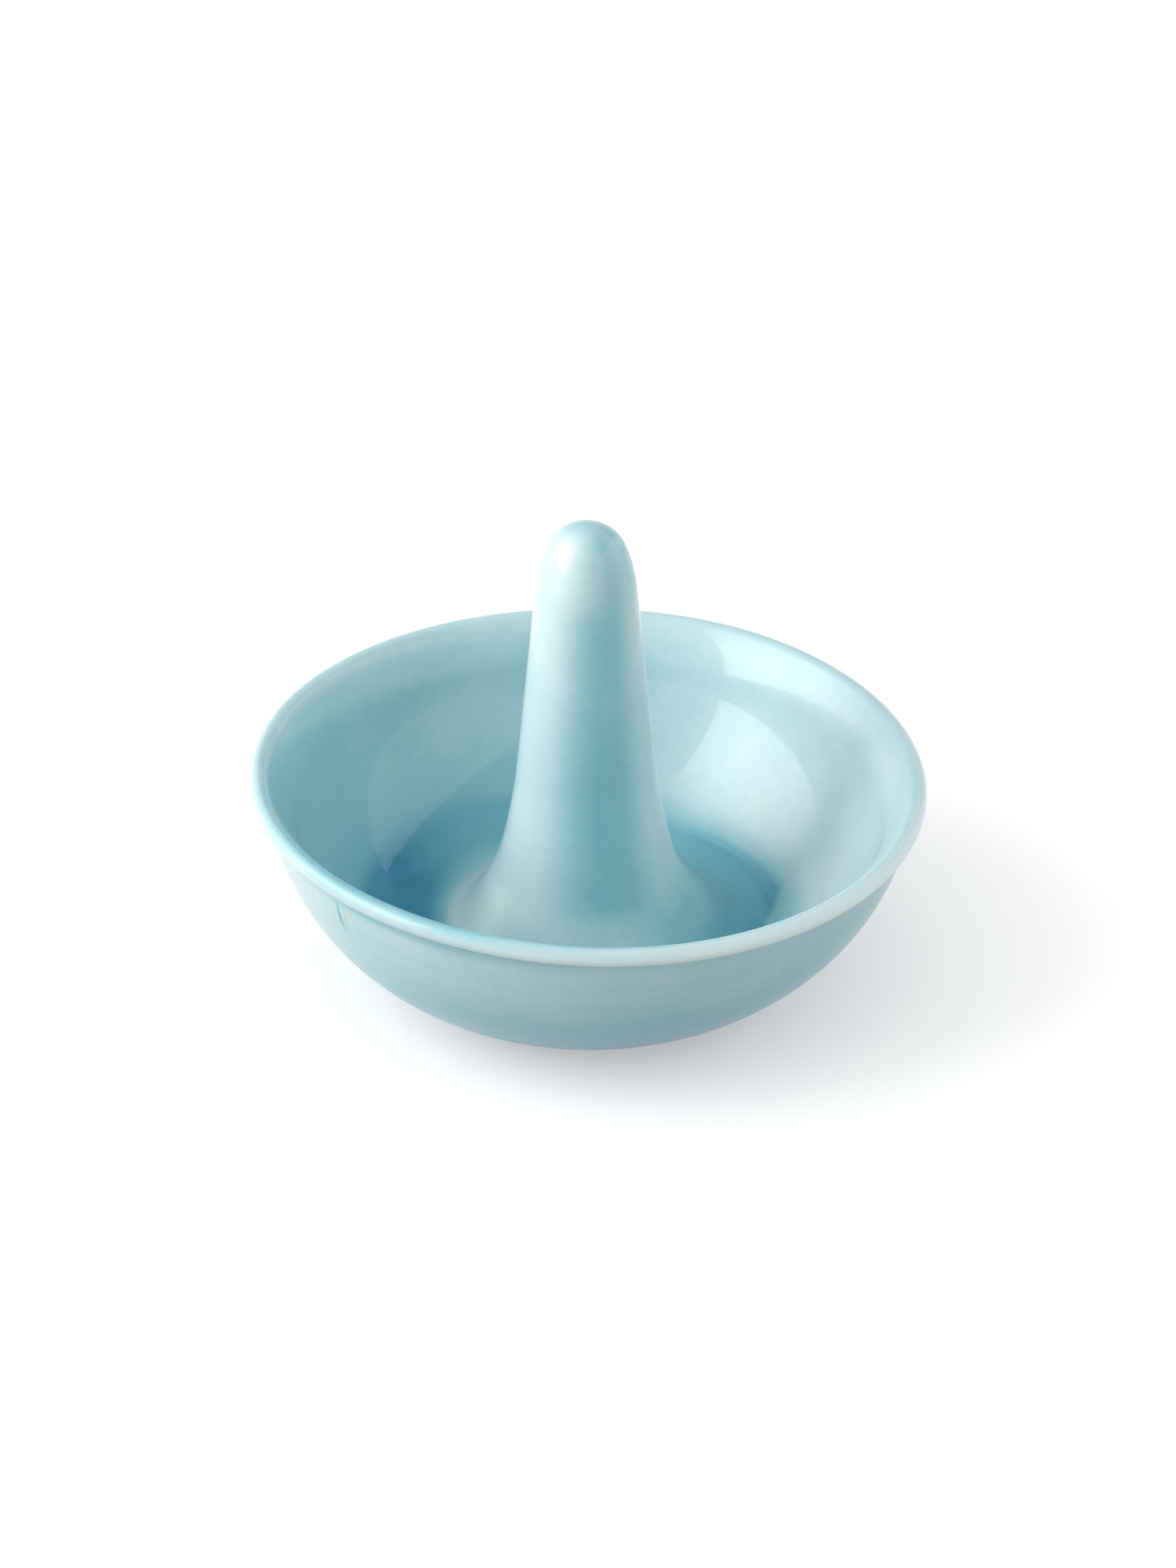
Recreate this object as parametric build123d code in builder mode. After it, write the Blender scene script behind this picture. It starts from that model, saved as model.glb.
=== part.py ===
"""Ring dish: a small glazed bowl with a rolled rim and a tapering post for finger rings.

The bowl and the post are clay. The post is cast hollow and luted to the bowl's floor with slip.
One glaze coat covers the dish down to its bare foot ring, and a second lines the foot's recess.
The Z axis is the axis of revolution, and the foot ring rests on the plane at height zero.
"""
from build123d import *
from math import cos, radians, sin, sqrt
import os

os.makedirs("parts", exist_ok=True)

# The dish over its glaze
rim_diameter = 102.0
rim_height = 33.5
rim_overhang = 5.2
wall_thickness = 3.55
wall_centre_rise = 1.95
floor_height = 6.25
floor_corner_radius = 7.5
floor_margin = 2.03
glaze_thickness = 0.35

# The rolled rim
bead_radius = 1.35
lip_radius = 1.7
lip_turn = 46.0
neck_radius = 0.8

# The foot ring
foot_diameter = 50.0
foot_width = 3.6
foot_recess_height = 2.6
foot_edge_rounding = 0.6
bare_foot_height = 1.0

# The ring post over its glaze
post_height = 75.0
post_tip_radius = 6.5
post_tip_turn = 69.3
post_shoulder_radius = 24.4
post_taper = 5.55
post_waist_radius = 99.8
post_waist_turn = 8.6
post_flare_radius = 27.4
post_flare_turn = 27.3
post_foot_rise = 2.5
post_wall = 3.0

# The luted joint and its vent
slip_thickness = 0.3
vent_radius = 1.5

rim_radius = rim_diameter / 2
foot_radius = foot_diameter / 2
foot_inner_radius = foot_radius - foot_width


class Post:
    """The post's section at a depth below the glaze surface, as tangent arcs about one straight taper.

    A hollow fillet of slip joins its foot to the flat floor, tangent to both.
    """

    def __init__(self, depth):
        self.top = post_height - depth
        side = 90 - post_taper
        waist_end = side - post_waist_turn
        slope = waist_end - post_flare_turn
        straight = post_height - floor_height - post_foot_rise
        straight -= post_tip_radius * (1 - cos(radians(post_tip_turn)))
        straight -= post_shoulder_radius * (cos(radians(post_tip_turn)) - cos(radians(side)))
        straight -= post_waist_radius * (cos(radians(waist_end)) - cos(radians(side)))
        straight -= post_flare_radius * (cos(radians(slope)) - cos(radians(waist_end)))
        tip = JernArc((0, self.top), (1, 0), post_tip_radius - depth, -post_tip_turn)
        shoulder = JernArc(tip @ 1, tip % 1, post_shoulder_radius - depth, post_tip_turn - side)
        taper = PolarLine(shoulder @ 1, straight / sin(radians(side)), -side)
        waist = JernArc(taper @ 1, taper % 1, post_waist_radius + depth, post_waist_turn)
        flare = JernArc(waist @ 1, waist % 1, post_flare_radius + depth, post_flare_turn)
        self.outline = [tip, shoulder, taper, waist, flare]
        self.foot = flare @ 1
        floor = floor_height - depth
        self.joint_radius = (self.foot.Y - floor) / (1 - cos(radians(slope)))
        self.joint_end = Vector(self.foot.X + self.joint_radius * sin(radians(slope)), floor)

    def draw(self):
        """Tip, shoulder, taper, waist and flare, from the tip on the axis down to the post's foot."""
        add(self.outline)

    def draw_joint(self):
        """Surface of the slip from the post's foot down to the floor."""
        RadiusArc(self.foot, self.joint_end, -self.joint_radius)


post_over_glaze = Post(0)
post_clay = Post(glaze_thickness)
post_hollow = Post(glaze_thickness + post_wall)

# The inner wall's circle over its glaze. It is tangent to the floor corner's circle and holds it
# inside, and its widest level is wall_centre_rise above the rim and rim_overhang inside it.
floor_radius = post_over_glaze.joint_end.X + floor_margin
widest_radius = rim_radius - rim_overhang
wall_centre_height = rim_height + wall_centre_rise
corner_to_widest = widest_radius - floor_radius
corner_to_centre = wall_centre_height - floor_height - floor_corner_radius
wall_radius = (corner_to_widest**2 + corner_to_centre**2 - floor_corner_radius**2) / 2
wall_radius /= corner_to_widest - floor_corner_radius
wall_centre = Vector(widest_radius - wall_radius, wall_centre_height)


def turned(angle):
    """Unit direction at an angle in degrees from the radial direction."""
    return Vector(cos(radians(angle)), sin(radians(angle)))


class Dish:
    """The bowl's section at a depth below the glaze surface: the corners between its tangent arcs."""

    def __init__(self, depth):
        self.depth = depth
        self.inner_radius = wall_radius + depth
        self.outer_radius = wall_radius + wall_thickness - depth
        self.floor = floor_height - depth
        self.underside = floor_height - wall_thickness + depth
        self.bead = bead_radius - depth
        self.lip = lip_radius - depth
        self.neck = neck_radius + depth
        self.set_corners()
        self.set_rim()
        self.set_neck()

    def set_corners(self):
        """The corner's circles, above and below, share a centre and touch the wall's circles."""
        self.floor_edge = Vector(floor_radius, self.floor)
        self.underside_edge = Vector(floor_radius, self.underside)
        self.corner_radius = floor_corner_radius + self.depth
        self.outer_corner_radius = floor_corner_radius + wall_thickness - self.depth
        to_corner = Vector(floor_radius - wall_centre.X, -corner_to_centre).normalized()
        self.wall_foot = wall_centre + to_corner * self.inner_radius
        self.outer_foot = wall_centre + to_corner * self.outer_radius

    def set_rim(self):
        """The lip's arc leaves the crest inwards, and a long arc joins it to the wall's circle."""
        self.crest = Vector(rim_radius - bead_radius, rim_height - self.depth)
        self.lip_end = self.crest - Vector(0, self.lip) + turned(90 + lip_turn) * self.lip
        into_clay = turned(lip_turn - 90)
        arm = self.lip_end - wall_centre
        reach = 2 * (self.inner_radius - arm.dot(into_clay))
        self.flare_radius = (arm.length**2 - self.inner_radius**2) / reach
        centre = self.lip_end + into_clay * self.flare_radius
        self.wall_top = wall_centre + (centre - wall_centre).normalized() * self.inner_radius

    def set_neck(self):
        """The neck's hollow circle touches the bead's circle and the outer wall's circle."""
        self.bead_centre = self.crest - Vector(0, self.bead)
        arm = self.bead_centre - wall_centre
        to_wall = self.outer_radius + self.neck
        to_bead = self.bead + self.neck
        along = (to_wall**2 - to_bead**2 + arm.length**2) / (2 * arm.length)
        across = sqrt(to_wall**2 - along**2)
        unit = arm.normalized()
        neck_centre = wall_centre + unit * along + Vector(unit.Y, -unit.X) * across
        self.bead_end = self.bead_centre + (neck_centre - self.bead_centre) * (self.bead / to_bead)
        self.neck_end = wall_centre + (neck_centre - wall_centre) * (self.outer_radius / to_wall)

    def draw_inside(self):
        """Floor corner, inner wall, flare and lip, from the floor's edge up to the rim's crest."""
        RadiusArc(self.floor_edge, self.wall_foot, -self.corner_radius)
        RadiusArc(self.wall_foot, self.wall_top, -self.inner_radius)
        RadiusArc(self.wall_top, self.lip_end, self.flare_radius)
        RadiusArc(self.lip_end, self.crest, self.lip)

    def draw_outside(self):
        """Bead, neck, outer wall and its corner, from the rim's crest down to the flat underside."""
        beside = self.bead_centre + Vector(self.bead, 0)
        ThreePointArc(self.crest, beside, self.bead_end)
        RadiusArc(self.bead_end, self.neck_end, -self.neck)
        RadiusArc(self.neck_end, self.outer_foot, self.outer_radius)
        RadiusArc(self.outer_foot, self.underside_edge, self.outer_corner_radius)


over_glaze = Dish(0)
clay = Dish(glaze_thickness)
seat_height = clay.floor + slip_thickness
mid_floor = (clay.floor + clay.underside) / 2


# Bowl: rolled rim, curved wall and flat floor, then the recess's ceiling with its vent, and the
# foot ring, both reaching up into the floor
with BuildPart() as bowl:
    with BuildSketch(Plane.XZ) as bowl_section:
        with BuildLine():
            clay.draw_inside()
            clay.draw_outside()
            Polyline(
                clay.underside_edge,
                (vent_radius, clay.underside),
                (vent_radius, clay.floor),
                clay.floor_edge,
            )
        make_face()
        with Locations((vent_radius, foot_recess_height)):
            Rectangle(
                foot_radius - vent_radius, mid_floor - foot_recess_height, align=(Align.MIN, Align.MIN)
            )
        with Locations((foot_inner_radius, 0)):
            Rectangle(foot_width, mid_floor, align=(Align.MIN, Align.MIN))
        resting_corners = bowl_section.vertices().filter_by_position(Axis.Y, 0, 0)
        fillet(resting_corners, foot_edge_rounding)
    revolve(axis=Axis.Z)
bowl.part.label = "bowl"
export_step(bowl.part, "parts/bowl.step")

# Ring post: a hollow cone with a round tip and a flared foot, open below
with BuildPart() as ring_post:
    with BuildSketch(Plane.XZ):
        with BuildLine():
            post_clay.draw()
            post_hollow.draw()
            Polyline(
                post_clay.foot,
                (post_clay.foot.X, seat_height),
                (post_hollow.foot.X, seat_height),
                post_hollow.foot,
            )
            Line((0, post_hollow.top), (0, post_clay.top))
        make_face()
    revolve(axis=Axis.Z)
ring_post.part.label = "ring_post"
export_step(ring_post.part, "parts/ring_post.step")

# Lute seam: slip under the post's foot and in a hollow fillet round it
with BuildPart() as lute_seam:
    with BuildSketch(Plane.XZ):
        with BuildLine():
            post_clay.draw_joint()
            Polyline(
                post_clay.joint_end,
                (post_hollow.foot.X, clay.floor),
                (post_hollow.foot.X, seat_height),
                (post_clay.foot.X, seat_height),
                post_clay.foot,
            )
        make_face()
    revolve(axis=Axis.Z)
lute_seam.part.label = "lute_seam"
export_step(lute_seam.part, "parts/lute_seam.step")

# Glaze coat: one unbroken layer from the post's tip over the rim to the foot ring, where it ends
with BuildPart() as glaze_coat:
    with BuildSketch(Plane.XZ):
        with BuildLine():
            for post, dish in ((post_over_glaze, over_glaze), (post_clay, clay)):
                post.draw()
                post.draw_joint()
                Line(post.joint_end, dish.floor_edge)
                dish.draw_inside()
                dish.draw_outside()
                Line(dish.underside_edge, (vent_radius, dish.underside))
            Line((vent_radius, over_glaze.underside), (vent_radius, clay.underside))
            Line((0, post_clay.top), (0, post_over_glaze.top))
        make_face()
        Rectangle(foot_radius, mid_floor, align=(Align.MIN, Align.MIN), mode=Mode.SUBTRACT)
    revolve(axis=Axis.Z)
glaze_coat.part.label = "glaze_coat"
export_step(glaze_coat.part, "parts/glaze_coat.step")

# Base glaze: the lining of the foot's recess, round the vent and above the bare foot
with BuildPart() as base_glaze:
    with BuildSketch(Plane.XZ) as base_section:
        with BuildLine():
            Polyline(
                (vent_radius, foot_recess_height),
                (foot_inner_radius, foot_recess_height),
                (foot_inner_radius, bare_foot_height),
                (foot_inner_radius - glaze_thickness, bare_foot_height),
                (foot_inner_radius - glaze_thickness, foot_recess_height - glaze_thickness),
                (vent_radius, foot_recess_height - glaze_thickness),
                close=True,
            )
        make_face()
    revolve(axis=Axis.Z)
base_glaze.part.label = "base_glaze"
export_step(base_glaze.part, "parts/base_glaze.step")

for piece in (bowl, ring_post, lute_seam, glaze_coat, base_glaze):
    print(piece.part.label, "volume", round(piece.part.volume, 1), "box", piece.part.bounding_box().size)
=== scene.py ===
"""Glazed ring dish: the clay bowl and post, the slip between them, and the glaze that covers them."""
from math import atan2, cos, pi, radians, sin, sqrt

import bpy
import numpy as np
from bpy.props import FloatProperty, FloatVectorProperty, IntProperty, PointerProperty
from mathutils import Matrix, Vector


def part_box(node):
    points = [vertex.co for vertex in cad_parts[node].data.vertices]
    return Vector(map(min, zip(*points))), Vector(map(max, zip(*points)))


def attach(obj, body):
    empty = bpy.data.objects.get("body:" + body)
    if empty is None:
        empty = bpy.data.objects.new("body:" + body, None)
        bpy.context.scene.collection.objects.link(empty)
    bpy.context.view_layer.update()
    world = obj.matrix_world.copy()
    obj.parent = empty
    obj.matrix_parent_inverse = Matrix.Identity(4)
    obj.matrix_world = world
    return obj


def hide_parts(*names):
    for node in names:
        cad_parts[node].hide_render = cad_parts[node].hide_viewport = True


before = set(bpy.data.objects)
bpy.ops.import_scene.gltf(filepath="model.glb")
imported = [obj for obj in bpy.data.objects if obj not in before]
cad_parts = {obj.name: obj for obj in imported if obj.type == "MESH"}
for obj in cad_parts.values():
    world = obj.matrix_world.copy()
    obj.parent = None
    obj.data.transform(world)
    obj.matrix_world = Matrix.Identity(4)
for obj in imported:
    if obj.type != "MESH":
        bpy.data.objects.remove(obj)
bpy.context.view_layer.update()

bl_info = {
    "name": "Ring Dish",
    "version": (1, 0, 0),
    "blender": (4, 5, 0),
    "location": "3D View > Sidebar > Ring Dish",
    "description": "Builds a glazed ring dish around its construction model",
    "category": "Add Mesh",
}

MM = 0.001
COAT_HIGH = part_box("glaze_coat")[1]
BOWL_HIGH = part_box("bowl")[1]
GLAZE = 0.35 * MM


def length(name, default, description):
    """A length in metres for the sidebar."""
    return FloatProperty(name=name, default=default, description=description, unit="LENGTH", precision=5)


def share(name, default, description):
    """A plain number for the sidebar."""
    return FloatProperty(name=name, default=default, description=description)


def angle(name, default, description):
    """An angle for the sidebar, given in degrees."""
    return FloatProperty(name=name, default=radians(default), description=description, subtype="ANGLE")


def colour(name, default, description):
    """A scene-linear colour for the sidebar."""
    return FloatVectorProperty(
        name=name, default=default, description=description, subtype="COLOR", size=3, min=0, max=1
    )


class DishSizes(bpy.types.PropertyGroup):
    """Sizes of the dish over its glaze, with its section made of tangent arcs."""

    glaze: length("Glaze", GLAZE, "Thickness of the glaze coat")
    rim_radius: length("Rim radius", COAT_HIGH.x, "Outermost radius of the rolled rim")
    rim_height: length("Rim height", BOWL_HIGH.z + GLAZE, "Height of the rim's crest")
    rim_overhang: length("Rim overhang", 5.2 * MM, "Distance of the wall's widest level inside the rim")
    wall_rise: length("Wall rise", 1.95 * MM, "Height of that level above the rim's crest")
    wall: length("Wall", 3.55 * MM, "Thickness of the wall with its glaze")
    floor_height: length("Floor", 6.25 * MM, "Height of the glazed floor")
    floor_corner: length("Floor corner", 7.5 * MM, "Radius between floor and wall")
    floor_margin: length("Floor margin", 2.03 * MM, "Width of the flat floor between slip and corner")
    bead: length("Bead", 1.35 * MM, "Radius of the rim's outer bead")
    lip: length("Lip", 1.7 * MM, "Radius of the rim's inner edge")
    lip_turn: angle("Lip turn", 46, "Turn of the rim's inner edge")
    neck: length("Neck", 0.8 * MM, "Radius of the hollow under the bead")
    foot_radius: length("Foot radius", 25 * MM, "Outer radius of the foot ring")
    foot_width: length("Foot width", 3.6 * MM, "Width of the foot ring")
    foot_round: length("Foot rounding", 0.6 * MM, "Rounding of the foot ring's edges")
    recess: length("Recess", 2.6 * MM, "Height of the clay ceiling inside the foot ring")
    bare_foot: length("Bare foot", 1.0 * MM, "Height inside the foot ring that stays free of glaze")
    vent: length("Vent", 1.5 * MM, "Radius of the post's vent hole")
    slip: length("Slip", 0.3 * MM, "Thickness of the slip under the post")


class PostSizes(bpy.types.PropertyGroup):
    """Sizes of the post over its glaze, from its tip down to its flared foot."""

    height: length("Height", COAT_HIGH.z, "Height of the post's tip above the table")
    tip: length("Tip", 6.5 * MM, "Radius of the round tip")
    tip_turn: angle("Tip turn", 69.3, "Turn of the tip's arc")
    shoulder: length("Shoulder", 24.4 * MM, "Radius of the shoulder's arc")
    taper: angle("Taper", 5.55, "Lean of the straight side")
    waist: length("Waist", 99.8 * MM, "Radius of the waist's long arc")
    waist_turn: angle("Waist turn", 8.6, "Turn of the waist's arc")
    flare: length("Flare", 27.4 * MM, "Radius of the flared foot")
    flare_turn: angle("Flare turn", 27.3, "Turn of the flare's arc")
    foot_rise: length("Foot rise", 2.5 * MM, "Height of the flare's end above the floor")
    wall: length("Wall", 3.0 * MM, "Thickness of the cast clay")


class HandMarks(bpy.types.PropertyGroup):
    """How far the real dish is from a true body of revolution."""

    tilt: length("Tilt", -1.45 * MM, "Rise of the rim on the right")
    saddle: length("Saddle", 0.5 * MM, "Rise and fall of the rim across its diagonals")
    sway: length("Sway", -0.36 * MM, "Shift of the rim against the foot")
    post_sway: length("Post sway", -0.6 * MM, "Shift of the post against the foot")
    wobble: length("Wobble", 0.1 * MM, "Unevenness of the wall's radius")
    groove: length("Groove", 0.12 * MM, "Depth of the groove round the floor")
    run: length("Run", 0.45 * MM, "Height of the run of glaze under the rim")
    peel: length("Orange peel", 0.008 * MM, "Height of the fine orange peel in the glaze")
    ripple: length("Ripple", 0.03 * MM, "Height of the broad ripples in the glaze")


class GlazeFlow(bpy.types.PropertyGroup):
    """How thick the glaze lies, where 0 is broken thin and 1 is pooled deep. Some of it is painted shade
    on the lower outer wall and on the rim at the front left.
    """

    dipped: share("Dipped", 0.5, "Thickness of the glaze as it was dipped")
    # Partly glaze that sagged, partly painted shade: the outer wall darker towards the foot ring.
    sag_and_low_shade: share("Sag", 0.42, "How much thicker it sags towards the foot ring")
    rim: share("Rim", 0.18, "How much thinner it lies on the rim")
    bead: share("Bead", 0.22, "How much thinner it breaks over the outer bead")
    hem: share("Hem", 0.09, "How much thinner it lies just under the bead")
    # Painted shade: darker glaze on the rim at the front left, where the left softbox lights it most.
    roll: share("Roll", 0.26, "How much thicker it rolls over the rim at the front left")
    inner_wall: share("Inner wall", 0.09, "How much thinner it lies on the inner wall")
    outer_wall: share("Outer wall", 0.07, "How much thinner it lies on the outer wall")
    post: share("Post", 0.12, "How much thinner it lies on the post")
    clouds: share("Clouds", 0.16, "How much it varies in broad clouds")
    mottle: share("Mottle", 0.08, "How much it varies in fine mottling")
    strokes: share("Strokes", 0.1, "How much it varies in brush strokes on the outer wall")
    # Painted shade on one side of the run and a painted highlight on the other.
    run_painted_shade: share("Run shade", 1.8, "How much the run darkens on one side and pales on the other")


class GlazeColours(bpy.types.PropertyGroup):
    """Colours of the glaze by its thickness, and of the clay."""

    thin: colour("Thin", (0.57, 0.70, 0.69), "Glaze broken thin over an edge")
    pale: colour("Pale", (0.435, 0.575, 0.60), "Thin glaze on the open surfaces")
    even: colour("Even", (0.19, 0.43, 0.475), "Glaze of the usual thickness")
    thick: colour("Thick", (0.09, 0.34, 0.44), "Thick glaze in hollows")
    deep: colour("Deep", (0.01, 0.215, 0.345), "Glaze pooled in the trough")
    clay: colour("Clay", (0.62, 0.56, 0.46), "Bare fired clay")


class StageSettings(bpy.types.PropertyGroup):
    """The lights and the camera."""

    key: share("Key", 7.3, "Brightness of the left softbox, where 1 is white")
    fill: share("Fill", 1.75, "Brightness of the right softbox")
    room: share("Room", 0.85, "Brightness of the room")
    ceiling: share("Ceiling", 0.15, "Brightness of the mirrored ceiling")
    reach: length("Reach", 0.6, "Distance of the softboxes from the dish")
    distance: length("Distance", 0.7, "Distance of the camera from its target")
    elevation: angle("Elevation", 31.09, "Camera's angle above the table")
    lens: share("Lens", 106.47, "Focal length on a 36 mm sensor, in mm")
    aim_below_rim: length("Aim", 2.73 * MM, "Depth of the camera's target below the rim")


class RingDish(bpy.types.PropertyGroup):
    """All settings of the ring dish."""

    dish: PointerProperty(type=DishSizes)
    post: PointerProperty(type=PostSizes)
    marks: PointerProperty(type=HandMarks)
    flow: PointerProperty(type=GlazeFlow)
    colours: PointerProperty(type=GlazeColours)
    stage: PointerProperty(type=StageSettings)
    around: IntProperty(name="Around", default=288, description="Faces round the axis")


# Sections: arrays of (radius, height), walked with the clay or glaze on the right-hand side


def arc(centre, radius, start, end, step=0.9 * MM):
    """Points centre + radius (cos a, sin a), with a running evenly from start to end in radians."""
    count = max(4, int(abs(end - start) * radius / step) + 2, int(abs(end - start) / 0.12) + 2)
    a = np.linspace(start, end, count)
    return np.stack([centre[0] + radius * np.cos(a), centre[1] + radius * np.sin(a)], axis=1)


def line(start, end, step=0.9 * MM):
    """Evenly spaced points from start to end."""
    start, end = np.array(start, float), np.array(end, float)
    count = max(2, int(np.hypot(*(end - start)) / step) + 2)
    return start + np.linspace(0, 1, count)[:, None] * (end - start)


def bearing(point, centre):
    """Angle of a point seen from a centre, from 0 to a full turn."""
    return atan2(point[1] - centre[1], point[0] - centre[0]) % (2 * pi)


def chained(*runs):
    """Runs of points end to end, with the points that two runs share kept once."""
    points = np.vstack(runs)
    apart = np.hypot(*np.diff(points, axis=0).T) > 1e-7
    return points[np.concatenate([[True], apart])]


def post_outline(s, p, depth):
    """Post from the tip on the axis to the end of its flare, at a depth below the glaze surface.

    The arcs touch at the turns given, and the straight taper takes up the height that is left."""
    side = pi / 2 - p.taper
    waist_end = side - p.waist_turn
    flare_end = waist_end - p.flare_turn
    drop = p.height - s.floor_height - p.foot_rise
    drop -= p.tip * (1 - cos(p.tip_turn)) + p.shoulder * (cos(p.tip_turn) - cos(side))
    drop -= p.waist * (cos(waist_end) - cos(side)) + p.flare * (cos(flare_end) - cos(waist_end))
    straight = drop / sin(side)
    tip_centre = np.array([0, p.height - p.tip])
    tip_out = np.array([sin(p.tip_turn), cos(p.tip_turn)])
    shoulder_centre = tip_centre + tip_out * (p.tip - p.shoulder)
    side_out = np.array([sin(side), cos(side)])
    taper_top = shoulder_centre + side_out * (p.shoulder - depth)
    taper_end = taper_top + straight * np.array([cos(side), -sin(side)])
    waist_centre = taper_end + side_out * (p.waist + depth)
    waist_out = np.array([sin(waist_end), cos(waist_end)])
    flare_centre = waist_centre + waist_out * (p.flare - p.waist)
    return chained(
        arc(tip_centre, p.tip - depth, pi / 2, pi / 2 - p.tip_turn),
        arc(shoulder_centre, p.shoulder - depth, pi / 2 - p.tip_turn, pi / 2 - side),
        line(taper_top, taper_end),
        arc(waist_centre, p.waist + depth, 1.5 * pi - side, 1.5 * pi - waist_end),
        arc(flare_centre, p.flare + depth, 1.5 * pi - waist_end, 1.5 * pi - flare_end),
    )


def joint_fillet(s, p, depth):
    """Hollow arc of slip from the post's foot to the flat floor, touching both."""
    foot, floor = post_outline(s, p, depth)[-1], s.floor_height - depth
    slope = pi / 2 - p.taper - p.waist_turn - p.flare_turn
    radius = (foot[1] - floor) / (1 - cos(slope))
    centre = np.array([foot[0] + radius * sin(slope), floor + radius])
    return arc(centre, radius, 1.5 * pi - slope, 1.5 * pi)


def wall_circle(s, p):
    """Centre of the wall's arcs, radius of the inner one over its glaze, and the flat floor's radius.

    The arc touches the floor's corner, and its widest level is known from the rim."""
    floor_radius = joint_fillet(s, p, 0)[-1, 0] + s.floor_margin
    widest, height = s.rim_radius - s.rim_overhang, s.rim_height + s.wall_rise
    across, down = widest - floor_radius, height - s.floor_height - s.floor_corner
    radius = (across**2 + down**2 - s.floor_corner**2) / (2 * (across - s.floor_corner))
    return np.array([widest - radius, height]), radius, floor_radius


def floor_corner(s, p, depth, side):
    """Arc of the floor's corner: side 0 is its upper side and side 1 its underside."""
    centre, _, floor_radius = wall_circle(s, p)
    corner = np.array([floor_radius, s.floor_height + s.floor_corner])
    radius = s.floor_corner + (s.wall - depth if side else depth)
    return arc(corner, radius, 1.5 * pi, bearing(corner, centre), 0.2 * MM)


def dish_inside(s, p, depth):
    """Inner side from the flat floor's edge up to the rim's crest, at a depth below the glaze surface.

    Each arc touches the next: the floor's corner, the wall, a long flare and the lip."""
    centre, wall, _ = wall_circle(s, p)
    wall += depth
    corner = floor_corner(s, p, depth, 0)
    lip = s.lip - depth
    crest = np.array([s.rim_radius - s.bead, s.rim_height - depth])
    lip_centre = crest - np.array([0, lip])
    lip_end = lip_centre + lip * np.array([-sin(s.lip_turn), cos(s.lip_turn)])
    into_clay = np.array([sin(s.lip_turn), -cos(s.lip_turn)])
    arm = lip_end - centre
    flare = (arm @ arm - wall**2) / (2 * (wall - arm @ into_clay))
    flare_centre = lip_end + into_clay * flare
    outward = (flare_centre - centre) / np.hypot(*(flare_centre - centre))
    wall_top = centre + outward * wall
    return chained(
        corner,
        arc(centre, wall, bearing(corner[-1], centre), bearing(wall_top, centre)),
        arc(flare_centre, flare, bearing(wall_top, flare_centre), pi / 2 + s.lip_turn),
        arc(lip_centre, lip, pi / 2 + s.lip_turn, pi / 2),
    )


def dish_outside(s, p, depth):
    """Outer side from the rim's crest round the bead and the neck, down the wall and its corner to
    the foot ring, at a depth below the glaze surface."""
    centre, wall, _ = wall_circle(s, p)
    wall, bead, neck = wall + s.wall - depth, s.bead - depth, s.neck + depth
    bead_centre = np.array([s.rim_radius - s.bead, s.rim_height - s.bead])
    arm = bead_centre - centre
    reach = np.hypot(*arm)
    along = ((wall + neck) ** 2 - (bead + neck) ** 2 + reach**2) / (2 * reach)
    across = sqrt((wall + neck) ** 2 - along**2)
    unit = arm / reach
    neck_centre = centre + unit * along + np.array([unit[1], -unit[0]]) * across
    bead_end = bead_centre + (neck_centre - bead_centre) * bead / (bead + neck)
    neck_end = centre + (neck_centre - centre) * wall / (wall + neck)
    corner = floor_corner(s, p, depth, 1)[::-1]
    return chained(
        arc(bead_centre, bead, pi / 2, bearing(bead_end, bead_centre) - 2 * pi),
        arc(neck_centre, neck, bearing(bead_end, neck_centre), bearing(neck_end, neck_centre)),
        arc(centre, wall, bearing(neck_end, centre), bearing(corner[0], centre)),
        corner,
        line(corner[-1], (s.foot_radius, corner[-1, 1])),
    )


def covering(s, p, depth):
    """The whole outline at a depth below the glaze surface, from the post's tip to the foot ring."""
    post, fillet, inside = post_outline(s, p, depth), joint_fillet(s, p, depth), dish_inside(s, p, depth)
    return chained(post, fillet, line(fillet[-1], inside[0]), inside, dish_outside(s, p, depth))


# Surfaces of revolution


def smooth_step(low, high, value):
    """0 on low's side, 1 on high's side, and 3 t^2 - 2 t^3 between."""
    t = np.clip((value - low) / (high - low), 0, 1)
    return t * t * (3 - 2 * t)


def bell(value, centre, width):
    """1 at a centre, and exp(-((value - centre) / width)^2) on both sides of it."""
    return np.exp(-(((value - centre) / width) ** 2))


def facing(turn, side, power=1):
    """1 on the side at this many degrees from +X, and 0 from square to it: a power of the cosine."""
    return np.clip(np.cos(turn - radians(side)), 0, 1) ** power


def by_turn(turn, *stops):
    """A value that runs evenly round the axis from stop to stop of (degrees from +X, value)."""
    return np.interp(np.degrees(turn), *np.transpose(stops), period=360)


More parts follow.
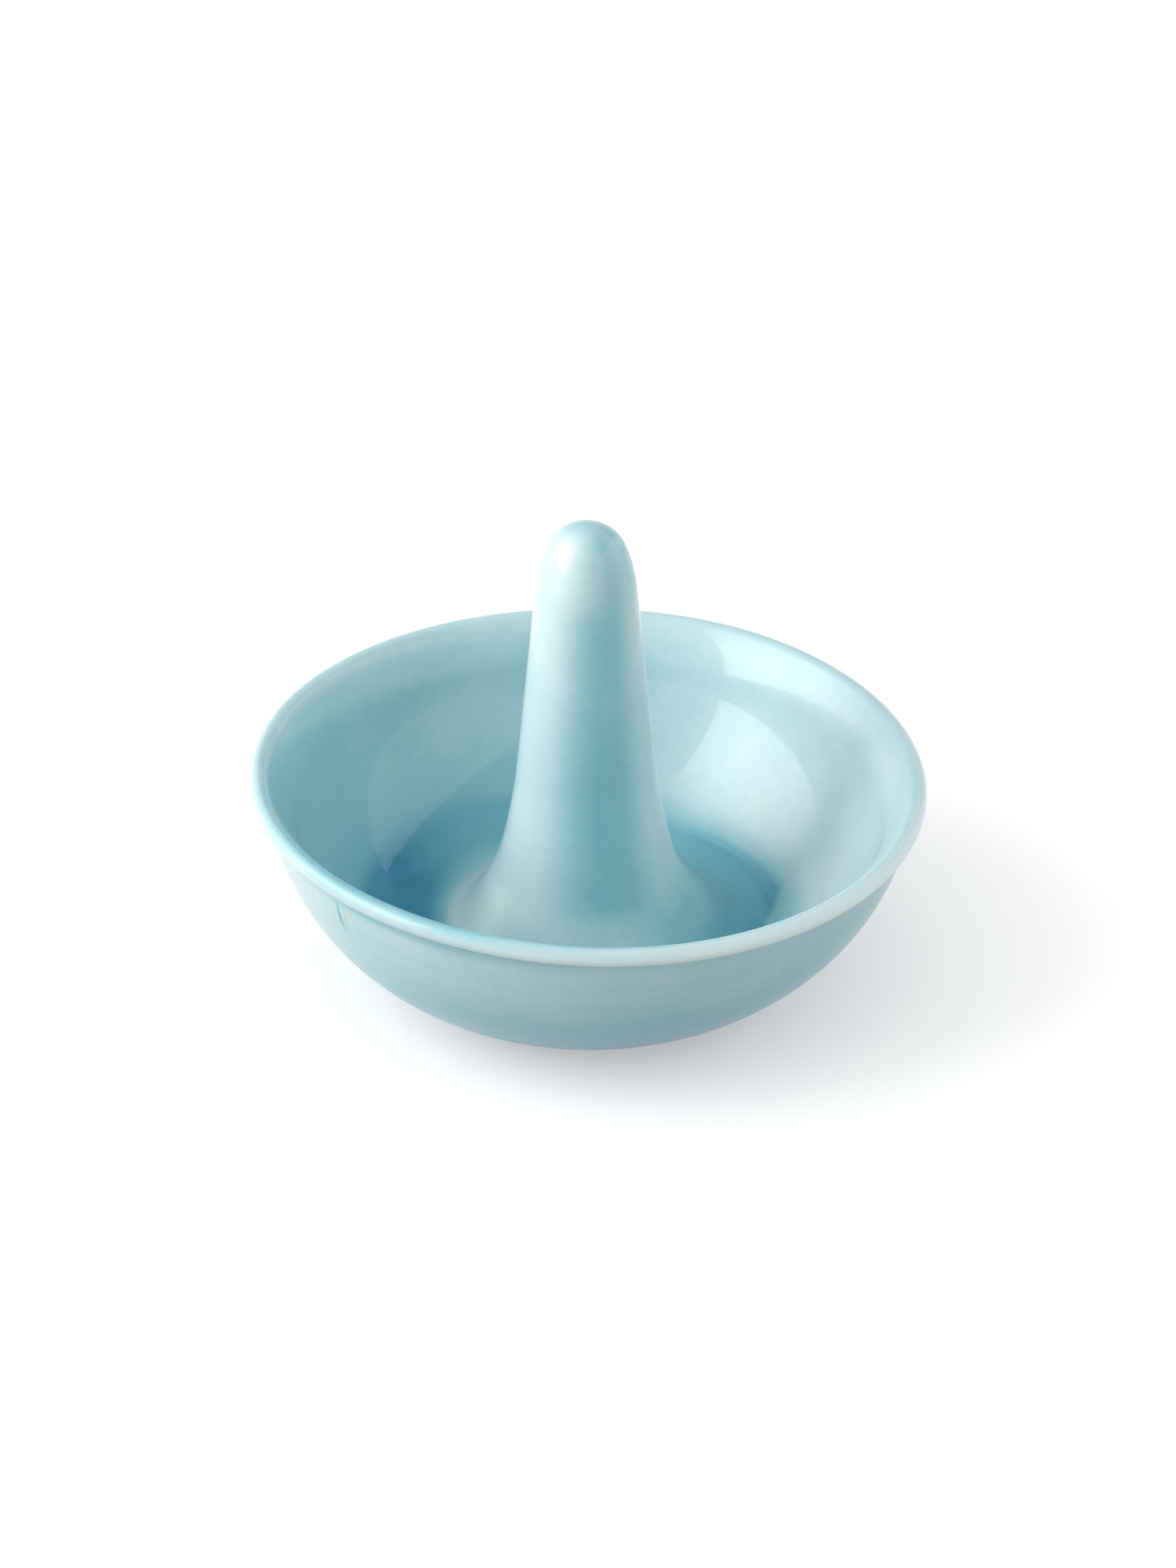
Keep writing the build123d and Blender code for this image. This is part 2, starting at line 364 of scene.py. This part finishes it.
def worked_by_hand(points, s, m):
    """Moves points as the maker's hands and the kiln moved them.

    With t the height's share from the floor's corner to the rim, the wall rises by
    t (tilt cos(angle) + saddle sin(2 angle)) and sways and swells by t times the sway and a sum of
    low harmonics. t starts softly, as t - e (1 - exp(-t / e)). The post sways by its own amount."""
    x, y, z = points.T
    radius, turn = np.hypot(x, y), np.arctan2(y, x)
    start, e = 7.5 * MM, 0.08
    t = np.clip((z - start) / (s.rim_height - start), 0, 1)
    wall = smooth_step(25 * MM, 30 * MM, radius) * (t - e * (1 - np.exp(-t / e))) / (1 - e)
    post = smooth_step(25 * MM, 20 * MM, radius) * smooth_step(s.floor_height, 16 * MM, z)
    rise = m.tilt * np.cos(turn) * radius / s.rim_radius + m.saddle * np.sin(2 * turn)
    swell = m.wobble * (0.6 * np.sin(3 * turn + 0.7) + 0.5 * np.sin(5 * turn + 2.1) + 0.3 * np.sin(7 * turn))
    moved = points.copy()
    moved[:, 0] += m.sway * wall + m.post_sway * post + swell * wall * np.cos(turn)
    moved[:, 1] += swell * wall * np.sin(turn)
    moved[:, 2] += rise * wall
    return moved


def revolved(section, around, closed):
    """Vertices and faces of a section turned about the Z axis.

    A closed section gives a ring. An open one starts and ends on the axis, and each end is a pole."""
    turn = np.linspace(0, 2 * pi, around, endpoint=False)
    rings = section if closed else section[1:-1]
    radius, height = rings[:, 0, None], rings[:, 1, None]
    x, y = radius * np.cos(turn), radius * np.sin(turn)
    grid = np.stack([x, y, np.broadcast_to(height, x.shape)], axis=-1).reshape(-1, 3)
    rows, column = np.arange(len(rings)), np.arange(around)
    upper = rows if closed else rows[:-1]
    lower = (upper + 1) % len(rings)
    near, far = column, (column + 1) % around
    a = upper[:, None] * around + near
    b = lower[:, None] * around + near
    c = lower[:, None] * around + far
    d = upper[:, None] * around + far
    quads = np.stack([a, b, c, d], axis=-1).reshape(-1, 4)
    if closed:
        return grid, [quads]
    top, bottom = len(grid), len(grid) + 1
    last = (len(rings) - 1) * around
    poles = np.array([[0, 0, section[0, 1]], [0, 0, section[-1, 1]]])
    cap = np.stack([np.full(around, top), near, far], axis=-1)
    base = np.stack([last + far, last + near, np.full(around, bottom)], axis=-1)
    return np.vstack([grid, poles]), [quads, cap, base]


def mesh_piece(name, points, faces, attributes=()):
    """A mesh object at the origin, smooth but for edges over 40 degrees."""
    mesh = bpy.data.meshes.new(name)
    mesh.from_pydata(points.tolist(), [], sum((block.tolist() for block in faces), []))
    for label, values in attributes:
        layer = mesh.attributes.new(label, "FLOAT", "POINT")
        layer.data.foreach_set("value", values.astype(np.float32))
    mesh.shade_smooth()
    mesh.set_sharp_from_angle(angle=radians(40))
    piece = bpy.data.objects.new(name, mesh)
    bpy.context.scene.collection.objects.link(piece)
    return piece


def placed(piece, material, slot, *nodes):
    """Gives a piece its material and lets it stand for CAD nodes on the one rigid body."""
    piece.data.materials.append(material)
    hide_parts(*nodes)
    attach(piece, "root")
    return piece


# Materials


class Shade:
    """An output socket of a material, on which arithmetic adds Math nodes."""

    def __init__(self, tree, socket):
        self.tree = tree
        self.socket = socket

    def maths(self, operation, *values):
        """A Math node of this operation on the values."""
        return node(self.tree, "ShaderNodeMath", dict(enumerate(values)), operation=operation)

    def __add__(self, other):
        return self.maths("ADD", self, other)

    def __radd__(self, other):
        return self.maths("ADD", other, self)

    def __sub__(self, other):
        return self.maths("SUBTRACT", self, other)

    def __rsub__(self, other):
        return self.maths("SUBTRACT", other, self)

    def __mul__(self, other):
        return self.maths("MULTIPLY", self, other)

    def __rmul__(self, other):
        return self.maths("MULTIPLY", other, self)


def node(tree, kind, sockets=None, output=0, **settings):
    """Adds a node: its settings first, then the values or links of its input sockets.

    It gives back the node's output, or nothing where the node has none."""
    made = tree.nodes.new(kind)
    stops = settings.pop("stops", None)
    for label, value in settings.items():
        setattr(made, label, value)
    if stops:
        ramp = made.color_ramp
        for index, (place, tint) in enumerate(stops):
            stop = ramp.elements[index] if index < 2 else ramp.elements.new(place)
            stop.position = place
            stop.color = (*tint, 1)
    for label, value in (sockets or {}).items():
        socket = made.inputs[label]
        if isinstance(value, Shade):
            tree.links.new(value.socket, socket)
        else:
            socket.default_value = value
    return Shade(tree, made.outputs[output]) if made.outputs else None


def new_material(name):
    """An empty node material, with its tree."""
    material = bpy.data.materials.new(name)
    material.use_nodes = True
    material.node_tree.nodes.clear()
    return material, material.node_tree


def finish_material(tree, surface):
    """Links a surface to the material's output."""
    node(tree, "ShaderNodeOutputMaterial", {"Surface": surface})


def spot(tree, place, centre, turn, size):
    """1 at a centre and 0 outside an ellipsoid of this size, turned about Z, with its own X position."""
    frame_of_spot = {"Vector": place, "Location": centre, "Rotation": (0, 0, turn), "Scale": size}
    local = node(tree, "ShaderNodeMapping", frame_of_spot, vector_type="TEXTURE")
    distance = node(tree, "ShaderNodeVectorMath", {0: local}, output=1, operation="LENGTH")
    side = node(tree, "ShaderNodeSeparateXYZ", {"Vector": local}, output="X")
    limits = {"Value": distance, "From Min": 0.0, "From Max": 1.0, "To Min": 1.0, "To Max": 0.0}
    return node(tree, "ShaderNodeMapRange", limits, interpolation_type="SMOOTHSTEP"), side


def noise(tree, place, scale, detail=2.0):
    """Noise about zero, within half a unit, at so many cells per metre."""
    return node(tree, "ShaderNodeTexNoise", {"Vector": place, "Scale": scale, "Detail": detail}) - 0.5


def glaze_material(d):
    """Glossy glaze coloured by its thickness and by painted light and shade, with mottling, brush strokes,
    orange peel and one run.

    The smooth lobe mirrors the room, and a rough coat stands for light scattered in the glaze. Where
    brushed is 1 the lobe is softer and the coat weaker. The run has painted shade on one side and a
    painted highlight on the other, because it stands proud."""
    c, g, m = d.colours, d.flow, d.marks
    material, tree = new_material("pooled_glaze")
    place = node(tree, "ShaderNodeTexCoord", output="Object")
    depth = node(tree, "ShaderNodeAttribute", attribute_name="glaze_depth_and_painted_light", output="Fac")
    brushed = node(tree, "ShaderNodeAttribute", attribute_name="brushed", output="Fac")
    level = node(tree, "ShaderNodeMapping", {"Vector": place, "Scale": (1, 1, 12)})
    cloud, mottle, stroke = noise(tree, place, 60, 3), noise(tree, place, 700, 4), noise(tree, level, 70, 4)
    side, out, high = radians(-138.1), 48.5 * MM, 28 * MM
    run_place, run_size = (out * cos(side), out * sin(side), high), (1.1 * MM, 3 * MM, 3.8 * MM)
    run, across = spot(tree, place, run_place, pi / 2 + side, run_size)
    shade = depth + cloud * g.clouds + mottle * g.mottle + stroke * brushed * g.strokes
    # Painted shade and a painted highlight on the run's two sides.
    shade -= run * across * g.run_painted_shade
    stops = [(0.0, c.thin), (1.0, c.deep), (0.25, c.pale), (0.5, c.even), (0.75, c.thick)]
    tint = node(tree, "ShaderNodeValToRGB", {"Fac": shade}, stops=stops)
    peel = noise(tree, place, 1300) * (1 - brushed) * m.peel
    height = peel + noise(tree, place, 160) * m.ripple + run * m.run
    bump = node(tree, "ShaderNodeBump", {"Strength": 1.0, "Distance": 1.0, "Height": height})
    surface = node(tree, "ShaderNodeBsdfPrincipled", {
        "Base Color": tint, "Roughness": 0.035 + brushed * 0.2, "IOR": 1.32, "Normal": bump,
        "Coat Weight": 1.0 - brushed * 0.4, "Coat Roughness": 0.5, "Coat IOR": 1.5,
    })
    finish_material(tree, surface)
    return material


def clay_material(d):
    """Matte fired clay with fine grit."""
    c = d.colours
    material, tree = new_material("gritty_clay")
    place = node(tree, "ShaderNodeTexCoord", output="Object")
    grit = node(tree, "ShaderNodeTexNoise", {"Vector": place, "Scale": 2200.0, "Detail": 3.0}, output=0)
    cloud = node(tree, "ShaderNodeTexNoise", {"Vector": place, "Scale": 120.0, "Detail": 2.0}, output=0)
    worn = tuple(0.72 * v for v in c.clay)
    stops = [(0.3, worn), (0.62, c.clay)]
    tint = node(tree, "ShaderNodeValToRGB", {"Fac": grit * 0.6 + cloud * 0.4}, stops=stops)
    bump = node(tree, "ShaderNodeBump", {"Strength": 0.5, "Distance": 0.05 * MM, "Height": grit})
    surface = node(tree, "ShaderNodeBsdfPrincipled", {"Base Color": tint, "Roughness": 0.85, "Normal": bump})
    finish_material(tree, surface)
    return material


def seen_directly(tree):
    """1 for camera, glossy and transmission rays, and 0 for the light that falls on the dish."""
    kinds = "Camera", "Glossy", "Transmission"
    camera, glossy, passing = (node(tree, "ShaderNodeLightPath", output=f"Is {kind} Ray") for kind in kinds)
    return camera.maths("MAXIMUM", camera.maths("MAXIMUM", camera, glossy), passing)


def floor_material():
    """White sweep that takes the shadow.

    It throws back little light on the dish. The camera and the glaze see it lifted towards white, and
    plain white where it is far from the dish."""
    thrown_back, paper_white, lift_near, near, far = 0.43, 0.95, 0.36, 0.3, 0.5
    material, tree = new_material("white_sweep")
    seen = seen_directly(tree)
    white = thrown_back + seen * (paper_white - thrown_back)
    tint = node(tree, "ShaderNodeCombineColor", {0: white, 1: white, 2: white})
    paper = node(tree, "ShaderNodeBsdfDiffuse", {"Color": tint})
    glow = node(tree, "ShaderNodeEmission", {"Color": (1, 1, 1, 1), "Strength": 1.0})
    place = node(tree, "ShaderNodeTexCoord", output="Object")
    away = node(tree, "ShaderNodeVectorMath", {0: place}, output=1, operation="LENGTH")
    limits = {"Value": away, "From Min": near, "From Max": far, "To Min": lift_near, "To Max": 1.0}
    lift = node(tree, "ShaderNodeMapRange", limits, interpolation_type="SMOOTHSTEP")
    lifted = node(tree, "ShaderNodeMixShader", {0: seen * lift, 1: paper, 2: glow})
    finish_material(tree, lifted)
    return material


def shared_material(name, make, *arguments):
    """The material of this name, made once."""
    return bpy.data.materials.get(name) or make(*arguments)


# Pieces


def dish_bottom(height, inside):
    """1 on the inner side near the floor, and 0 from the lower wall upwards."""
    return smooth_step(12.5 * MM, 8 * MM, height) * inside


def trough_pool_and_shade(radius, turn):
    """Pooled glaze in the trough round the post.

    It is 1 from a soft inner edge to a crisper outer one, both uneven round the post, times how deep
    the pool stands on each side. It is deepest on the left: partly real pooling, partly painted shade."""
    inner = by_turn(turn, (0, 19), (60, 22), (130, 27), (160, 24.3), (190, 22.3), (220, 22.3), (300, 20)) * MM
    outer = by_turn(turn, (0, 27), (15, 30.4), (85, 29.8), (130, 36), (200, 36), (330, 27)) * MM
    soft, crisp = 2.5 * MM, 0.7 * MM
    filled = smooth_step(inner - soft, inner + soft, radius) * smooth_step(outer + crisp, outer - crisp, radius)
    return filled * by_turn(
        turn, (10, 0.33), (60, 0.15), (130, 0.18), (160, 0.46), (190, 0.5), (230, 0.45), (300, 0.3),
    )


def worn_foot_and_painted_highlight(radius, turn, height):
    """Glaze paler on the post's flared foot, most of all in a strip at the front left: partly glaze that
    has run off, partly a painted reflection of the left softbox.
    """
    flared = smooth_step(12.5 * MM, 15 * MM, radius) * smooth_step(25 * MM, 20 * MM, radius)
    flared *= smooth_step(19 * MM, 13 * MM, height)
    return flared * by_turn(
        turn, (20, 0), (150, 0.22), (190, 0.32), (208, 0.46), (222, 0.22), (240, 0.14), (285, 0.16),
        (318, -0.01),
    )


def broken_bead(s, radius, height):
    """Glaze that breaks over the bead: a bell over the angle round its centre, just below level."""
    out, up = radius - (s.rim_radius - s.bead), height - (s.rim_height - s.bead)
    on_bead = smooth_step(s.bead + 0.8 * MM, s.bead + 0.2 * MM, np.hypot(up, out))
    return bell(np.arctan2(up, out), -0.15, 0.75) * on_bead


def painted_light_inner_wall(turn, height):
    """Painted light and shade on the inner wall, as thinner or thicker glaze.

    It is paler on the right, where the left softbox lights it, with one painted reflection in a streak,
    and on the left it is painted darker low down, as shade, and a little paler near the top."""
    streak = bell(turn, 0.08, 0.16) - 0.5 * bell(turn, 0.36, 0.1)
    sunk = 0.17 * smooth_step(19 * MM, 10 * MM, height) - 0.04 * smooth_step(18 * MM, 26 * MM, height)
    return -0.15 * np.cos(turn - 0.2) - 0.07 * streak + sunk * facing(turn, 180)


def painted_light_on_post(radius, turn, height):
    """Painted light and shade on the post and its tip, as thinner or thicker glaze: paler on its lit
    left side, darker at the front, with a painted highlight and painted shade on the tip, alike on top of the
    tip.
    """
    thin = by_turn(
        turn, (0, 0.05), (85, -0.1), (150, 0.08), (180, 0.26), (235, 0.12), (264, -0.09), (280, -0.155),
        (300, -0.14), (324, 0.03),
    )
    thin += smooth_step(44 * MM, 60 * MM, height) * 0.08 * facing(turn, -115, 4)
    thin -= smooth_step(60 * MM, 68 * MM, height) * 0.1 * np.abs(np.cos(turn - 0.2))
    thin += smooth_step(61 * MM, 67 * MM, height) * 0.16 * facing(turn, -100, 3)
    return thin * smooth_step(0.5 * MM, 5 * MM, radius)


def glaze_thickness_and_painted_light(d, radius, turn, height, inside):
    """glaze_depth_and_painted_light and brushed of each point of the glaze.

    glaze_depth_and_painted_light is 0 where the glaze breaks thin and 1 where it pools, and it carries painted
    light and shade as well. It is the dipped thickness, plus the pool in the trough, with painted shade on its
    left, and the sag above the foot ring, with painted shade there, minus what has run off the post's
    foot, with a painted highlight, the rim and the bead, plus painted shade on the rim at the front
    left, and plus or minus painted light and shade on the sides of the walls and the post. brushed is 1
    where the outer wall shows the brush."""
    s, g = d.dish, d.flow
    outside, left = 1 - inside, facing(turn, 180)
    near_rim = radius > 40 * MM
    top = smooth_step((3.2 * left - 4.5) * MM, (0.8 * left - 1) * MM, height - s.rim_height) * near_rim
    upright = smooth_step(27 * MM, 32 * MM, radius) * (1 - top)
    wall = upright * smooth_step(6.5 * MM, 10.5 * MM, height)
    stem = smooth_step(18 * MM, 13 * MM, radius) * smooth_step(8 * MM, 18 * MM, height)
    rolled = smooth_step(s.rim_height - 6 * MM, s.rim_height - 3 * MM, height) * (radius > 44 * MM)
    hem = smooth_step(25 * MM, 31 * MM, height) * outside * near_rim
    # Pooled glaze in the trough, partly real, partly painted shade on its left.
    depth = g.dipped + trough_pool_and_shade(radius, turn) * dish_bottom(height, inside)
    # Partly glaze run off the post's foot, partly a painted reflection of the left softbox.
    depth -= worn_foot_and_painted_highlight(radius, turn, height) * inside
    # Partly glaze that sagged, partly painted shade: the outer wall darker towards the bottom.
    depth += g.sag_and_low_shade * smooth_step(24 * MM, 3 * MM, height) * outside
    depth -= g.rim * top + g.bead * broken_bead(s, radius, height) + g.hem * hem
    # Painted shade: the rim darker at the front left, where the left softbox lights it most.
    depth += g.roll * rolled * facing(turn, -130, 4)
    # Painted light and shade on the inner wall: paler on its lit right side, darker low on its shaded left.
    depth += wall * inside * (painted_light_inner_wall(turn, height) - g.inner_wall)
    # Painted light and shade: the outer wall paler on its front left, where the left softbox lights it, and
    # darker on its back right.
    depth -= wall * outside * (0.1 * np.cos(turn - radians(-149)) + g.outer_wall)
    # Painted light and shade on the post: paler on its lit left, darker at the front, a painted highlight on
    # the tip.
    depth -= stem * (painted_light_on_post(radius, turn, height) + g.post)
    return depth, upright * outside


def build_glaze(d):
    """Glaze coat: one closed skin, outer side and clay side, ending at the foot ring.

    The clay side has every fourth point of its outline, because it doesn't show. A groove runs round
    the right of the floor: a bell over the radius."""
    s, p = d.dish, d.post
    clay_side = covering(s, p, s.glaze)[::-1]
    section = np.vstack([covering(s, p, 0), clay_side[:-1:4], clay_side[-1:]])
    crest = np.argmax(np.where(section[:, 0] > 40 * MM, section[:, 1], 0))
    points, faces = revolved(section, d.around, closed=False)
    x, y, height = points.T
    radius, turn = np.hypot(x, y), np.arctan2(y, x)
    inside = (np.arange(len(points)) // d.around < crest).astype(float)
    depth, brushed = glaze_thickness_and_painted_light(d, radius, turn, height, inside)
    groove = bell(radius, 29.2 * MM, 0.35 * MM) * dish_bottom(height, inside)
    groove *= smooth_step(-0.2, 0.3, np.cos(turn - 0.3))
    points[:, 2] -= groove * d.marks.groove
    points = worked_by_hand(points, s, d.marks)
    piece = mesh_piece("glaze_skin", points, faces, [("glaze_depth_and_painted_light", depth), ("brushed", brushed)])
    material = shared_material("pooled_glaze", glaze_material, d)
    return placed(piece, material, "blue_glaze", "glaze_coat")


def build_bowl(d):
    """Clay bowl under the glaze, with its foot ring, recess and vent hole."""
    s = d.dish
    inside, outside = dish_inside(s, d.post, s.glaze), dish_outside(s, d.post, s.glaze)
    inner_foot, r = s.foot_radius - s.foot_width, s.foot_round
    section = chained(
        line((s.vent, inside[0, 1]), inside[0], 2 * MM),
        inside[:-1:3],
        outside[:-1:3],
        line(outside[-1], (s.foot_radius, r)),
        arc((s.foot_radius - r, r), r, 0, -pi / 2),
        arc((inner_foot + r, r), r, -pi / 2, -pi),
        line((inner_foot, r), (inner_foot, s.recess)),
        line((inner_foot, s.recess), (s.vent, s.recess), 2 * MM),
    )
    points, faces = revolved(section, d.around, closed=True)
    piece = mesh_piece("clay_bowl", worked_by_hand(points, s, d.marks), faces)
    material = shared_material("gritty_clay", clay_material, d)
    return placed(piece, material, "fired_clay", "bowl")


def build_post(d):
    """Hollow clay post, open below, standing on its bed of slip."""
    s, p = d.dish, d.post
    outer, hollow = post_outline(s, p, s.glaze), post_outline(s, p, s.glaze + p.wall)
    seat = s.floor_height - s.glaze + s.slip
    foot = [(outer[-1, 0], seat), (hollow[-1, 0], seat)]
    section = np.vstack([outer, foot, hollow[::-1]])
    points, faces = revolved(section, d.around // 3, closed=False)
    piece = mesh_piece("clay_post", worked_by_hand(points, s, d.marks), faces)
    material = shared_material("gritty_clay", clay_material, d)
    return placed(piece, material, "fired_clay", "ring_post")


def build_seam(d):
    """Slip under the post's foot and in a hollow fillet round it."""
    s, p = d.dish, d.post
    outer, hollow = post_outline(s, p, s.glaze), post_outline(s, p, s.glaze + p.wall)
    floor = s.floor_height - s.glaze
    seat = floor + s.slip
    fillet = joint_fillet(s, p, s.glaze)
    section = np.vstack([fillet, [(hollow[-1, 0], floor), (hollow[-1, 0], seat), (outer[-1, 0], seat)]])
    points, faces = revolved(section, d.around // 3, closed=True)
    piece = mesh_piece("slip_seam", worked_by_hand(points, s, d.marks), faces)
    material = shared_material("gritty_clay", clay_material, d)
    return placed(piece, material, "fired_clay", "lute_seam")


def build_base_glaze(d):
    """Glaze that lines the recess inside the foot ring, with a rounded corner."""
    s = d.dish
    wall, r = s.foot_radius - s.foot_width, 0.8 * MM
    under = s.recess - s.glaze
    section = chained(
        line((s.vent, s.recess), (wall, s.recess), 2 * MM),
        line((wall, s.recess), (wall, s.bare_foot)),
        arc((wall, s.bare_foot + s.glaze), s.glaze, 1.5 * pi, pi),
        arc((wall - s.glaze - r, under - r), r, 0, pi / 2),
        line((wall - s.glaze - r, under), (s.vent, under), 2 * MM),
    )
    points, faces = revolved(section, d.around // 2, closed=True)
    piece = mesh_piece("recess_glaze", points, faces, [("glaze_depth_and_painted_light", np.full(len(points), d.flow.dipped))])
    material = shared_material("pooled_glaze", glaze_material, d)
    return placed(piece, material, "blue_glaze", "base_glaze")


# Stage


def softbox(name, side, reach, across, up, brightness):
    """A soft panel that stands square to a direction, at a reach from the dish.

    side is its direction in degrees from +Y towards +X. across and up list places along the panel and
    heights, as shares of the reach, each with its share of the light. The two shares multiply, and
    each runs evenly from one place to the next."""
    material, tree = new_material(name)
    level = node(tree, "ShaderNodeAttribute", attribute_name="level", output="Fac")
    light = node(tree, "ShaderNodeCombineColor", {0: level, 1: level, 2: level})
    glow = node(tree, "ShaderNodeBsdfPrincipled", {
        "Base Color": (0, 0, 0, 1), "Specular IOR Level": 0.0, "Emission Color": light,
        "Emission Strength": brightness,
    })
    finish_material(tree, glow)
    count = 17
    u, v = np.linspace(across[0][0], across[-1][0], count), np.linspace(up[0][0], up[-1][0], count)
    towards = np.array([sin(radians(side)), cos(radians(side)), 0])
    along = np.array([-towards[1], towards[0], 0])
    points = (towards + u[:, None] * along + v[:, None, None] * np.array([0, 0, 1])) * reach
    level = np.interp(v, *np.transpose(up))[:, None] * np.interp(u, *np.transpose(across))
    first = (np.arange(count - 1)[:, None] * count + np.arange(count - 1)).reshape(-1)
    quads = np.stack([first, first + 1, first + count + 1, first + count], axis=1)
    panel = mesh_piece(name, points.reshape(-1, 3), [quads], [("level", level.reshape(-1))])
    panel.data.materials.append(material)
    panel.visible_camera = False
    return panel


def build_stage(d):
    """White sweep, two softboxes, the room's light and the camera.

    The room lights the dish by 0.65 + 0.52 sin(elevation). The camera and the glaze see it as white
    round the horizon and as the dim ceiling from 18 degrees up."""
    g = d.stage
    half = 2.5
    corners = np.array([[-half, -half, 0], [half, -half, 0], [half, half, 0], [-half, half, 0]])
    floor = mesh_piece("floor", corners, [np.array([[0, 1, 2, 3]])])
    floor.data.materials.append(floor_material())
    softbox(
        "key_light", -90, g.reach,
        [(-0.8, 0.1), (-0.6, 0.2), (-0.35, 0.45), (-0.15, 0.68), (0.1, 0.85), (0.35, 1), (0.76, 1)],
        [(0.21, 0.9), (0.75, 1), (1.05, 0.92), (1.35, 0.63), (1.65, 0.4), (2.1, 0.1), (2.4, 0)], g.key,
    )
    softbox("fill_light", 110, g.reach, [(-0.93, 1), (2.7, 1)], [(0.18, 0.9), (1.07, 1)], g.fill)
    world = bpy.data.worlds.new("room")
    world.use_nodes = True
    tree = world.node_tree
    tree.nodes.clear()
    direction = node(tree, "ShaderNodeTexCoord", output="Generated")
    height = node(tree, "ShaderNodeSeparateXYZ", {"Vector": direction}, output="Z")
    white_up_to, dim_from = sin(radians(8)), sin(radians(18))
    backdrop = node(tree, "ShaderNodeMapRange", {
        "Value": height, "From Min": white_up_to, "From Max": dim_from, "To Min": 1.0, "To Max": g.ceiling,
    })
    seen = seen_directly(tree)
    strength = (height * 0.52 + 0.65) * g.room * (1 - seen) + backdrop * seen
    room = node(tree, "ShaderNodeBackground", {"Color": (1, 1, 1, 1), "Strength": strength})
    node(tree, "ShaderNodeOutputWorld", {"Surface": room})
    bpy.context.scene.world = world
    camera = bpy.data.cameras.new("camera")
    camera.sensor_width, camera.lens = 36, g.lens
    eye = bpy.data.objects.new("camera", camera)
    target = Vector((d.marks.sway, 0, d.dish.rim_height - g.aim_below_rim))
    back = Vector((0, -cos(g.elevation), sin(g.elevation)))
    eye.location = target + back * g.distance
    eye.rotation_euler = (pi / 2 - g.elevation, 0, 0)
    bpy.context.scene.collection.objects.link(eye)
    bpy.context.scene.camera = eye
    bpy.context.scene.view_settings.view_transform = "Standard"


class BuildOperator(bpy.types.Operator):
    """What the dish's operators share."""

    bl_options = {"REGISTER", "UNDO"}


class RINGDISH_OT_glaze(BuildOperator):
    """Add the glaze coat over the bowl and the post"""

    bl_idname = "ringdish.glaze"
    bl_label = "Glaze coat"

    def execute(self, context):
        build_glaze(context.scene.ring_dish)
        return {"FINISHED"}


class RINGDISH_OT_bowl(BuildOperator):
    """Add the clay bowl with its foot ring"""

    bl_idname = "ringdish.bowl"
    bl_label = "Clay bowl"

    def execute(self, context):
        build_bowl(context.scene.ring_dish)
        return {"FINISHED"}


class RINGDISH_OT_post(BuildOperator):
    """Add the hollow clay post and the slip that joins it to the bowl"""

    bl_idname = "ringdish.post"
    bl_label = "Post and slip"

    def execute(self, context):
        build_post(context.scene.ring_dish)
        build_seam(context.scene.ring_dish)
        return {"FINISHED"}


class RINGDISH_OT_base(BuildOperator):
    """Add the glaze in the foot's recess"""

    bl_idname = "ringdish.base"
    bl_label = "Base glaze"

    def execute(self, context):
        build_base_glaze(context.scene.ring_dish)
        return {"FINISHED"}


class RINGDISH_OT_stage(BuildOperator):
    """Add the floor, the lights and the camera"""

    bl_idname = "ringdish.stage"
    bl_label = "Stage"

    def execute(self, context):
        build_stage(context.scene.ring_dish)
        return {"FINISHED"}


OPERATORS = (RINGDISH_OT_glaze, RINGDISH_OT_bowl, RINGDISH_OT_post, RINGDISH_OT_base, RINGDISH_OT_stage)


class RINGDISH_PT_panel(bpy.types.Panel):
    """Sidebar panel with the dish's operators and settings"""

    bl_label = "Ring Dish"
    bl_space_type = "VIEW_3D"
    bl_region_type = "UI"
    bl_category = "Ring Dish"

    def draw(self, context):
        column = self.layout.column()
        for operator in OPERATORS:
            column.operator(operator.bl_idname)
        settings = context.scene.ring_dish
        groups = settings.dish, settings.post, settings.marks, settings.flow, settings.colours, settings.stage
        for group in groups:
            for label in group.__annotations__:
                column.prop(group, label)


CLASSES = (
    DishSizes, PostSizes, HandMarks, GlazeFlow, GlazeColours, StageSettings, RingDish,
    *OPERATORS, RINGDISH_PT_panel,
)


def register():
    """Registers the classes and puts the settings on the scene."""
    for item in CLASSES:
        bpy.utils.register_class(item)
    bpy.types.Scene.ring_dish = PointerProperty(type=RingDish)


def unregister():
    """Takes the settings and the classes away."""
    del bpy.types.Scene.ring_dish
    for item in reversed(CLASSES):
        bpy.utils.unregister_class(item)


def main():
    """Builds every piece and the stage."""
    register()
    bpy.ops.ringdish.stage()
    bpy.ops.ringdish.bowl()
    bpy.ops.ringdish.post()
    bpy.ops.ringdish.base()
    bpy.ops.ringdish.glaze()


if __name__ == "__main__":
    main()
